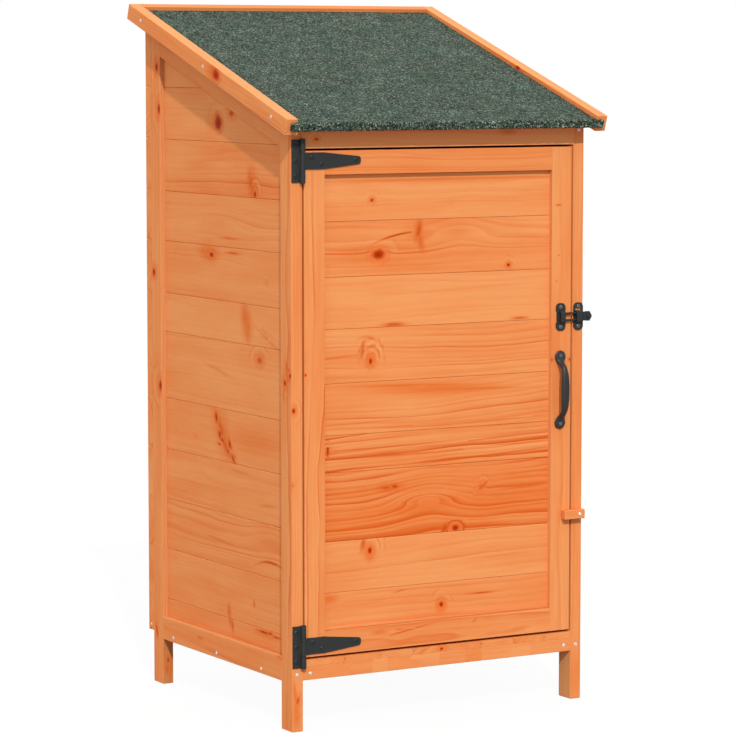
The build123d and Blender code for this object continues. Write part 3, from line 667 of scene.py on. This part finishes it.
for i in range(8):
    w = edges[i + 1] - edges[i]
    t.sweep((edges[i], Y(0), 108), Y3, X3, -Z3, 463, tongued(w, 10.3, 0.5, 0.35, i < 7), step=14.0,
            tone=0.30 + 0.08 * math.sin(i * 2.3), amp=0.4,
            knots=[K((2.7, Y(0), 102.5), "e", 2.4, 1.3, 0, 0.9)] if i == 3 else
            [K((edges[i] + w / 2, Y(90 + 40 * i), 108), "v", 3.5, 1.2, 0, 0.8)] if i % 2 else [])
t.done()

# roof: deck boards, barges and fascia
t = Timber("roof_deck", seed=28)
for i in range(6):
    u0 = 15 + i * 89.25
    t.sweep(at(-263.3, u0, -18), X3, ROOF_U, ROOF_N, 526.6, tongued(89.25, 10, 0.6, 0.2, i < 5), step=16.0,
            tone=0.3 + 0.1 * math.sin(i * 1.7), amp=0.5,
            knots=[K(at(-150 + 70 * i, u0 + 40, -18), "v", 3.6, 1.2, 0, 0.8)])
t.done()
for side, sx in (("left", -1), ("right", 1)):
    t = Timber(side + "_barge_board", seed=30 + (sx > 0))
    # the barges' top faces are painted paler, a painted highlight
    t.stick(at(sx * 272.85, 0, -12.5), ROOF_U, ROOF_N, X3, 550.5, 25, 19.1, 1.2, 0.8, tone=0.27, amp=0.5, edge=[(ROOF_N, -0.72)],
            ring=6.0, pith=(26, 30) if sx < 0 else (-24, 34),
            knots=[K((-283, Y(191.5), 978.7), "v", 5.2, 1.35, 0, 1.06, 0.3, heart=1.6),
                   K((-283, Y(203), 983), "v", 18.0, 1.3, 0, 0.85, -1)] if sx < 0 else
            [K(at(283, 300, -11), "v", 4.0, 1.2, 0, 0.8), K(at(263.3, 312, -2), "v", 4.6, 1.4, 0, 1.0, 0.2)])
    t.done()
t = Timber("back_fascia", seed=32)
t.stick(at(-263.3, 7.5, -12.5), X3, ROOF_N, ROOF_U, 526.6, 25, 15, 1.0, 0.2, tone=0.26, amp=0.45,
        knots=[K(at(60, 0, -12), "v", 3.2, 1.3, 0, 0.7)])
t.done()


# door
def dp(x, z, *a, **k):
    return K((x + 1.7, Y(8), z), "v", *a, **k)


t = Timber("door_left_stile", "door", 40)
# the left stile's inner edge is painted paler, painted light that also takes saturation out of light bounced onto the
# panel
t.stick((-219.4, Y(9), 111.6), Z3, X3, Y3, 756.2, 35.2, 18, 0.7, 0.5, tone=0.18, amp=0.6, edge=[(X3, -1.0)], ring=5.6, pith=(18, 26),
        knots=[K((-235, Y(0), 536), "v", 1.3, 1.3, 0, 0.8)])
t.done()
t = Timber("door_right_stile", "door", 41)
# the right stile's inner edge is painted duller and darker as painted shade
t.stick((219.1, Y(9), 111.6), Z3, X3, Y3, 756.2, 35.8, 18, 0.7, 0.5, tone=0.24, amp=0.45, edge=[(-X3, -2.4)], ring=6.0, pith=(-12, 34),
        knots=[K((213.1, Y(0), 778), "v", 1.3, 3.4, 88, 0.6, 0), K((202, Y(0), 538), "v", 1.3, 1.4, 0, 0.9),
               K((235, Y(0), 537), "v", 1.4, 1.4, 0, 0.9), K((214, Y(0), 700), "v", 0.8, 1.5, 0, 0.7, 0),
               K((210, Y(0), 660), "v", 0.7, 1.5, 0, 0.7, 0)])
t.done()
t = Timber("door_top_rail", "door", 42)
t.stick((-201.8, Y(9), 849.9), X3, Z3, Y3, 403, 35.8, 18, 0.7, 0.2, tone=0.36, amp=0.45, ring=5.6, pith=(16, 20))
t.done()
t = Timber("door_bottom_rail", "door", 43)
# the bottom rail's top face takes the duller, darker tone as painted shade, which also dims light bounced onto the
# panel above
t.stick((-201.8, Y(9), 129.8), X3, Z3, Y3, 403, 36.4, 18, 0.7, 0.2, tone=0.18, amp=0.42, ring=6.0, pith=(-8, 30),
        edge=[(Z3, -3.0)],
        knots=[K((-97, Y(0), 139), "v", 1.3, 18.0, 0, 0.95, 0), K((-57, Y(0), 137), "v", 1.2, 26.0, 9, 0.6, 0), K((-108, Y(0), 138.5), "v", 2.6, 4.0, 0, 0.4, 0),
               K((62, Y(0), 141), "v", 1.2, 3.0, 30, 0.5, 0)])
t.done()

door_joints = [148, 204, 281.5, 385.5, 441.5, 519.5, 601, 679, 762, 832]
#          tone  amp  ring pith
door_look = [(0.28, 0.34, 9.0, (78, 30)), (0.14, 0.34, 9.5, (104, 26)), (0.64, 1.00, 8.5, (126, 22)),
             (0.34, 1.40, 7.0, (92, 20)), (0.22, 0.60, 9.0, (104, 20)), (0.14, 0.62, 7.6, (112, 24)),
             (0.10, 0.20, 9.5, (100, 36)), (0.24, 0.60, 9.0, (108, 20)), (0.16, 0.28, 9.0, (94, 26))]
door_knots = {
    0: [dp(5, 170, 4.6, 0.85, 0, 1.0, 0.32), dp(4, 168, 16.0, 0.9, 0, 0.6, -1), dp(78.1, 181.8, 1.2, 16.0, 0, 0.7, 0), dp(-69, 197, 1.0, 9.0, 8, 0.5, 0),
        dp(-192, 195, 9.0, 2.0, 0, 0.9, -1), dp(-185, 178, 5.0, 3.0, 0, 0.05, 0.3)],
    1: [dp(-121.7, 263, 5.0, 0.68, -8, 0.95, 0.9), dp(-133, 274, 3.4, 2.6, 74, 0.6, 0), dp(-121, 260, 18.0, 0.75, 0, 0.75, -1),
        dp(120, 238, 1.6, 30.0, 2, 0.22, 0)],
    2: [dp(30, 286.5, 4.6, 1.4, 0, 1.3, 0.35), dp(10, 287, 3.4, 2.4, 60, 0.75, 0), dp(-94, 357, 2.0, 3.6, 0, 0.7, 0),
        dp(-78, 358, 2.6, 2.0, 0, 0.9, 0), dp(-88, 357.5, 9.0, 3.2, 0, 0.7, -1),
        dp(76.2, 346, 3.6, 1.2, 20, 0.5, 0.8), dp(82, 350, 1.4, 6.0, 40, 0.6, 0), dp(-20, 330, 15.0, 1.5, 0, 0.03, 0.82),
        dp(160, 342, 1.6, 22.0, 2, 0.5, 0), dp(-110, 303, 1.2, 60.0, 4, 0.4, 0), dp(100, 345, 9.0, 9.0, 2, 0.35, -1)],
    3: [dp(-194.5, 420, 2.2, 5.0, 88, 0.95, 0), dp(-120, 432, 0.9, 90.0, 2, 0.5, 0), dp(-100, 419, 0.9, 110.0, 1, 0.55, 0),
        dp(-110, 406, 1.0, 100.0, 0, 0.6, 0), dp(90, 421, 0.9, 110.0, 2, 0.5, 0), dp(100, 409, 1.0, 110.0, 2, 0.55, 0),
        dp(100, 396, 1.0, 100.0, 3, 0.6, 0), dp(-194, 420, 9.0, 2.2, 0, 0.5, -1)],
    4: [dp(-10, 504, 11.0, 13.0, -2, 0.85, -1), dp(-60, 511, 1.4, 50.0, -2, 0.40, 0), dp(70, 500, 1.2, 50.0, -2, 0.40, 0),
        dp(-150, 458, 1.2, 50.0, 1, 0.35, 0), dp(110, 449, 1.2, 60.0, 2, 0.4, 0), dp(-30, 450, 1.0, 70.0, 1, 0.35, 0)],
    5: [dp(-120.5, 550.5, 4.6, 0.66, -8, 0.95, 1.0), dp(-134, 568, 2.4, 4.6, 78, 0.60, 0, bend=0.01),
        dp(-121, 572, 1.8, 6.0, -8, 0.34, 0, bend=-0.020), dp(-124, 587, 2.0, 7.0, -10, 0.32, 0, bend=-0.016),
        dp(-180, 559, 1.3, 26.0, 3, 0.4, 0), dp(-121, 553, 19.0, 0.78, 0, 0.75, -1)],
    6: [dp(-80, 604.5, 2.4, 6.0, 0, 0.65, 0), dp(145.8, 605, 2.0, 6.0, 0, 0.6, 0), dp(60, 655, 1.6, 34.0, 2, 0.2, 0),
        dp(-75, 602, 6.0, 6.0, 0, 0.35, -1)],
    7: [dp(-107, 710.3, 5.6, 1.4, 0, 1.0, 0.28, heart=1.3), dp(-36, 746, 4.6, 2.8, 82, 0.66, 0, bend=0.004),
        dp(-74, 739.5, 1.25, 23.0, 11, 0.90, 0, bend=-0.0022), dp(-33, 728, 4.2, 2.6, -76, 0.50, 0),
        dp(124.7, 687.4, 2.8, 1.1, 0, 0.98, 0.3), dp(-36, 738, 22.0, 1.1, 0, 0.50, -1), dp(-140, 714, 14.0, 5.0, 0, 0.50, -1),
        dp(-50, 718, 10.0, 6.0, -4, 0.35, -1), dp(38, 738, 12.0, 1.7, 0, 0.04, 0.8)],
    8: [dp(-118.2, 792.4, 2.8, 1.1, 0, 0.7, 0.25), dp(40, 822, 1.8, 90.0, 0, 0.42, 0), dp(0, 820, 8.0, 24.0, 0, 0.25, -1)],
}
t = Timber("door_panel", "door", 44)
for i in range(9):
    z0, z1 = door_joints[i], door_joints[i + 1]
    tone, amp, ring, pith = door_look[i]
    t.sweep((-202.0, Y(8), z0), X3, Z3, Y3, 403.4, tongued(z1 - z0, 9.0, tongue=i < 8), knots=door_knots[i],
            tone=tone, amp=amp, ring=ring, pith=pith, step=9.0)
t.done()

# wooden turn button
t = Timber("turn_button", "button", 46)
t.stick((220.5, Y(-6.5), 294.6), X3, Z3, Y3, 37.6, 14.5, 11, 1.3, 1.0, tone=0.32, amp=0.5, ring=3.0, step=5.0)
t.done()


# ------------------------------------------------------------------------ felt
def finish_mesh(name, P, F, mat, body, nodes=(), smooth=True):
    mesh = bpy.data.meshes.new(name)
    mesh.from_pydata([tuple(p) for p in np.asarray(P) * MM], [], F)
    mesh.materials.append(mat)
    mesh.validate()
    for p in mesh.polygons:
        p.use_smooth = smooth
    mesh.update()
    ob = bpy.data.objects.new(name, mesh)
    bpy.context.scene.collection.objects.link(ob)
    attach(ob, body)
    if nodes:
        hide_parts(*nodes)
    return ob


def lumps(p, size, depth=2):
    q = Vector((p[0] / size, p[1] / size, p[2] / size))
    s, a = 0.0, 1.0
    for _ in range(depth):
        s += a * noise.noise(q)
        q, a = q * 2.1, a * 0.55
    return s


NX, NU = 158, 161
P, F = [], []
for j in range(NU + 1):
    for i in range(NX + 1):
        x, u = -263.3 + 526.6 * i / NX, 15 + 535.5 * j / NU
        p = at(x, u, -5.5)
        lift = 0.35 * lumps(p, 4.0) + 0.45 * lumps(p, 45.0, 1)
        P.append(at(x, u, -6.1 + max(-0.9, min(0.6, lift))))
for j in range(NU):
    for i in range(NX):
        q = j * (NX + 1) + i
        F.append((q, q + 1, q + NX + 2, q + NX + 1))
rim = ([j * (NX + 1) for j in range(NU + 1)]
       + [NU * (NX + 1) + i for i in range(1, NX + 1)]
       + [j * (NX + 1) + NX for j in range(NU - 1, -1, -1)]
       + [i for i in range(NX - 1, 0, -1)])
base = len(P)
for q in rim:
    j, i = divmod(q, NX + 1)
    P.append(at(-263.3 + 526.6 * i / NX, 15 + 535.5 * j / NU, -8))
for k in range(len(rim)):
    k2 = (k + 1) % len(rim)
    F.append((rim[k], rim[k2], base + k2, base + k))
F.append(tuple(base + k for k in range(len(rim)))[::-1])
finish_mesh("roof_felt_sheet", P, F, FELT, "shed", ["roof_felt"])

# the felt turned down over the front edge
outline = divided(rounded(7.0, 15, 3.4, 6), counts(rounded(7.0, 15, 3.4, 6), 1.3))
M, NR = len(outline), 330
P, F = [], []
for i in range(NR + 1):
    x = -276 + 552 * i / NR
    end = min(1.0, (276 - abs(x)) / 4.0)
    shrink = math.sqrt(max(0.04, 1 - (1 - end) ** 2))
    for v, w in outline:
        k = math.hypot(v, w)
        p = at(x, 553.5 + v, -11.5 + w)
        d = -0.95 + 1.15 * lumps(p, 3.4, 2)
        d = max(-2.3, min(-0.02, d))
        s = (1 + d / k) * shrink
        P.append(at(x, 552.95 + v * s, -11.5 + w * s))
for i in range(NR):
    for j in range(M):
        F.append((i * M + j, i * M + (j + 1) % M, (i + 1) * M + (j + 1) % M, (i + 1) * M + j))
F += [tuple(range(M))[::-1], tuple(range(NR * M, (NR + 1) * M))]
roll = finish_mesh("roof_felt_turned_edge", P, F, FELT_EDGE, "shed", ["roof_felt_roll"])


# -------------------------------------------------------------------- hardware
for node in ("top_hinge_leaf", "bottom_hinge_leaf", "top_hinge_pin", "bottom_hinge_pin", "top_hinge_strap",
             "bottom_hinge_strap", "latch_guide", "latch_keeper", "latch_bolt"):
    ob = frame["nodes"][node]
    for s in ob.material_slots:
        s.material = BLACK
    edge = ob.modifiers.new("eased_edges", "BEVEL")
    edge.width, edge.segments, edge.limit_method, edge.angle_limit = 0.0004, 2, "ANGLE", math.radians(35)


def frame_axes(normal):
    n = np.asarray(normal, float) / np.linalg.norm(normal)
    a = np.cross(n, Z3 if abs(n[2]) < 0.9 else X3)
    a /= np.linalg.norm(a)
    return n, a, np.cross(n, a)


def screw_heads(name, places, mat, body, nodes=()):
    """Domed heads with a cross recess. places: (point, outward, radius, rise, turn)."""
    P, F = [], []
    for p, out, R, rise, turn in places:
        n, a, b = frame_axes(out)
        start = len(P)
        radii = [1.0, 1.0, 0.93, 0.80, 0.66, 0.56, 0.46, 0.36, 0.26, 0.17, 0.09]
        S = 40
        for k, rr in enumerate(radii):
            for s in range(S):
                q = 2 * math.pi * s / S
                x, y = rr * math.cos(q), rr * math.sin(q)
                h = -0.25 if k == 0 else rise * math.sqrt(max(0.0, 1 - (0.96 * rr) ** 2)) + 0.05
                if (abs(x) < 0.15 and abs(y) < 0.60) or (abs(y) < 0.15 and abs(x) < 0.60):
                    h -= 0.9 * (1 - rr)
                ca, sa = math.cos(turn), math.sin(turn)
                P.append(np.asarray(p, float) + R * ((x * ca - y * sa) * a + (x * sa + y * ca) * b) + n * h)
        for k in range(len(radii) - 1):
            for s in range(S):
                s2 = (s + 1) % S
                F.append((start + k * S + s, start + k * S + s2, start + (k + 1) * S + s2, start + (k + 1) * S + s))
        F.append(tuple(start + (len(radii) - 1) * S + s for s in range(S)))
        F.append(tuple(start + s for s in range(S))[::-1])
    ob = finish_mesh(name, P, F, mat, body, nodes)
    ob.data.set_sharp_from_angle(angle=math.radians(38))
    return ob


FRONT, LEFT, RIGHT, BACK = (0, -1, 0), (-1, 0, 0), (1, 0, 0), (0, 1, 0)
R0 = 2.7
bright = []
for sx, out in ((-1, LEFT), (1, RIGHT)):
    for y, z in ((449.3, 1062.9), (235.5, 991.3), (17.9, 918.1)):
        bright.append(((sx * 282.4, Y(y), z), out, R0, 0.5, y))
    for y in (393, 244, 97):
        bright.append(((sx * 259, Y(y), 81), out, R0, 0.8, y))
    bright.append(((sx * 250, Y(0), 893.7), FRONT, R0, 0.8, 0.4 * sx))
    bright.append(((sx * 250, Y(0), 86.4), FRONT, R0, 0.8, 0.7 * sx))
    bright.append(((sx * 227.5, Y(0), 86.8), FRONT, R0, 0.8, 1.1 * sx))
    bright.append(((sx * 259, Y(471.5), 92), out, 2.2, 0.6, 0.3))
    for z in (112, 260, 424, 600, 754, 917, 1005):
        bright.append(((sx * 250, Y(480), z), BACK, R0, 0.8, z))
screw_heads("bright_screws", bright, ZINC, "shed")
screw_heads("turn_button_screw_head", [((248.5, Y(-12), 294.6), FRONT, 3.0, 1.5, 0.5)], ZINC, "shed",
            ["turn_button_screw"])

black_shed, black_door = [], []
for z0 in (853.2, 128.4):
    for dz in (-22, 0, 22):
        black_shed.append(((-252.2, Y(-2), z0 + dz), FRONT, 3.5, 1.2, z0 + dz))
    for x, dz in ((-224, 5.6), (-208, -5.2), (-149.5, 0.6)):
        black_door.append(((x, Y(-2), z0 + dz), FRONT, 3.5, 1.2, x))
latch_shed, latch_door = [], []
for dz in (-15.4, 15.4):
    latch_shed.append(((250, Y(-1.6), 604.2 + dz), FRONT, 3.2, 1.3, dz))
    latch_door.append(((217.4, Y(-1.6), 604.2 + dz), FRONT, 3.2, 1.3, dz))
for z in (544.0, 437.9):
    latch_door.append(((216.3, Y(-4.4), z), FRONT, 2.9, 0.9, z))
screw_heads("black_screws_on_frame", black_shed, SCREW, "shed")
screw_heads("black_screws_on_door", black_door, SCREW, "door")
screw_heads("latch_screws_on_frame", latch_shed, GREY_SCREW, "shed")
screw_heads("latch_screws_on_door", latch_door, GREY_SCREW, "door")

# cast pull handle: round feet, thin necks, a grip that swells in the middle
spine = [(552.0, 1.6, 0.8, 1.4), (550.2, 1.8, 5.9, 1.8), (547.4, 2.1, 8.4, 2.2), (542.4, 2.3, 9.8, 2.4),
         (537.6, 2.8, 8.3, 2.9), (533.8, 4.6, 6.0, 3.5), (530.6, 8.0, 4.7, 3.7), (527.6, 11.6, 4.5, 3.7),
         (523.6, 14.4, 4.9, 3.7), (517.0, 16.2, 5.8, 3.8), (508.0, 17.2, 6.6, 4.0), (498.0, 17.6, 7.0, 4.1),
         (490.95, 17.7, 7.1, 4.1)]
spine += [(981.9 - z, o, b, h) for z, o, b, h in spine[-2::-1]]
fine = []
S = np.array(spine)
for i in range(len(S) - 1):
    p0, p1, p2, p3 = S[max(i - 1, 0)], S[i], S[i + 1], S[min(i + 2, len(S) - 1)]
    for k in range(4):
        q = k / 4
        fine.append(0.5 * (2 * p1 + (p2 - p0) * q + (2 * p0 - 5 * p1 + 4 * p2 - p3) * q * q
                           + (3 * p1 - p0 - 3 * p2 + p3) * q ** 3))
fine.append(S[-1])
fine = np.array(fine)
M = 24
P, F = [], []
for i, (z, o, b, h) in enumerate(fine):
    d = fine[min(i + 1, len(fine) - 1)][:2] - fine[max(i - 1, 0)][:2]
    d /= np.linalg.norm(d)
    nz, no = d[1], -d[0]
    if no < 0:
        nz, no = -nz, -no
    for j in range(M):
        q = 2 * math.pi * j / M
        cx, cn = math.cos(q), math.sin(q)
        cx = math.copysign(abs(cx) ** 0.85, cx)
        out = max(0.05, o + h * cn * no)
        P.append((216.3 + max(b, 0.3) * cx, Y(-out), z + h * cn * nz))
for i in range(len(fine) - 1):
    for j in range(M):
        F.append((i * M + j, i * M + (j + 1) % M, (i + 1) * M + (j + 1) % M, (i + 1) * M + j))
F += [tuple(range(M))[::-1], tuple(range((len(fine) - 1) * M, len(fine) * M))]
finish_mesh("door_pull_handle", P, F, IRON, "door", ["door_handle"])

for ob in bpy.context.scene.objects:
    if ob.type == "MESH" and ob.name in ("roof_felt_turned_edge", "door_pull_handle", "roof_felt_sheet",
                                         "bright_screws", "turn_button_screw_head",
                                         "black_screws_on_frame", "black_screws_on_door",
                                         "latch_screws_on_frame", "latch_screws_on_door"):
        bm = bmesh.new()
        bm.from_mesh(ob.data)
        bmesh.ops.recalc_face_normals(bm, faces=bm.faces[:])
        bm.to_mesh(ob.data)
        bm.free()

# ----------------------------------------------------------- floor, light, camera
bpy.ops.mesh.primitive_plane_add(size=40.0, location=(0, 0, -0.0006))
ground = bpy.context.object
ground.name = "studio_floor"
gm = bpy.data.materials.new("studio_floor")
gm.use_nodes = True
gt = gm.node_tree
gt.nodes.clear()
g_out, g_mix, g_path = (gt.nodes.new(k) for k in ("ShaderNodeOutputMaterial", "ShaderNodeMixShader", "ShaderNodeLightPath"))
g_seen, g_lit = gt.nodes.new("ShaderNodeBsdfPrincipled"), gt.nodes.new("ShaderNodeBsdfDiffuse")
g_seen.inputs["Base Color"].default_value = (0.038, 0.038, 0.038, 1)
g_seen.inputs["Roughness"].default_value = 1.0
g_seen.inputs["Specular IOR Level"].default_value = 0.0
g_seen.inputs["Emission Color"].default_value = (1, 1, 1, 1)
g_seen.inputs["Emission Strength"].default_value = 0.957
g_lit.inputs["Color"].default_value = (0.34, 0.34, 0.34, 1)
gt.links.new(g_path.outputs["Is Camera Ray"], g_mix.inputs[0])
gt.links.new(g_lit.outputs[0], g_mix.inputs[1])
gt.links.new(g_seen.outputs[0], g_mix.inputs[2])
gt.links.new(g_mix.outputs[0], g_out.inputs["Surface"])
ground.data.materials.append(gm)

world = bpy.data.worlds.new("studio")
bpy.context.scene.world = world
world.use_nodes = True
wt = world.node_tree
wt.nodes.clear()
w_out = wt.nodes.new("ShaderNodeOutputWorld")
w_mix = wt.nodes.new("ShaderNodeMixShader")
w_path = wt.nodes.new("ShaderNodeLightPath")
w_seen, w_lit = wt.nodes.new("ShaderNodeBackground"), wt.nodes.new("ShaderNodeBackground")
w_seen.inputs["Color"].default_value = w_lit.inputs["Color"].default_value = (1, 1, 1, 1)
w_seen.inputs["Strength"].default_value = 1.0
w_lit.inputs["Strength"].default_value = 0.66
wt.links.new(w_path.outputs["Is Camera Ray"], w_mix.inputs[0])
wt.links.new(w_lit.outputs[0], w_mix.inputs[1])
wt.links.new(w_seen.outputs[0], w_mix.inputs[2])
wt.links.new(w_mix.outputs[0], w_out.inputs["Surface"])

for name, energy, soft, way in (("key", 2.46, 1.4, (0.293, 0.739, -0.607)),
                                ("fill_left", 0.75, 85.0, (0.97, 0.10, -0.22)),
                                ("fill_back", 0.72, 85.0, (-0.62, -0.70, -0.34))):
    lamp = bpy.data.lights.new(name, "SUN")
    lamp.energy, lamp.angle = energy, math.radians(soft)
    sun = bpy.data.objects.new(name, lamp)
    sun.rotation_mode = "QUATERNION"
    sun.rotation_quaternion = Vector(way).to_track_quat("-Z", "Y")
    bpy.context.scene.collection.objects.link(sun)

cam_data = bpy.data.cameras.new("camera")
cam_data.sensor_fit = "HORIZONTAL"
cam_data.sensor_width = 36.0
cam_data.lens = 3185.3169 * 36.0 / 736.0
cam_data.clip_start, cam_data.clip_end = 0.1, 100.0
cam = bpy.data.objects.new("camera", cam_data)
cam.location = (-2.5182345, -4.3408298, 1.0064272)
cam.rotation_euler = (math.pi / 2 - math.radians(5.5861), 0.0, -math.radians(30.1893))
bpy.context.scene.collection.objects.link(cam)
bpy.context.scene.camera = cam
bpy.context.scene.view_settings.view_transform = "Standard"
bpy.context.scene.view_settings.look = "None"
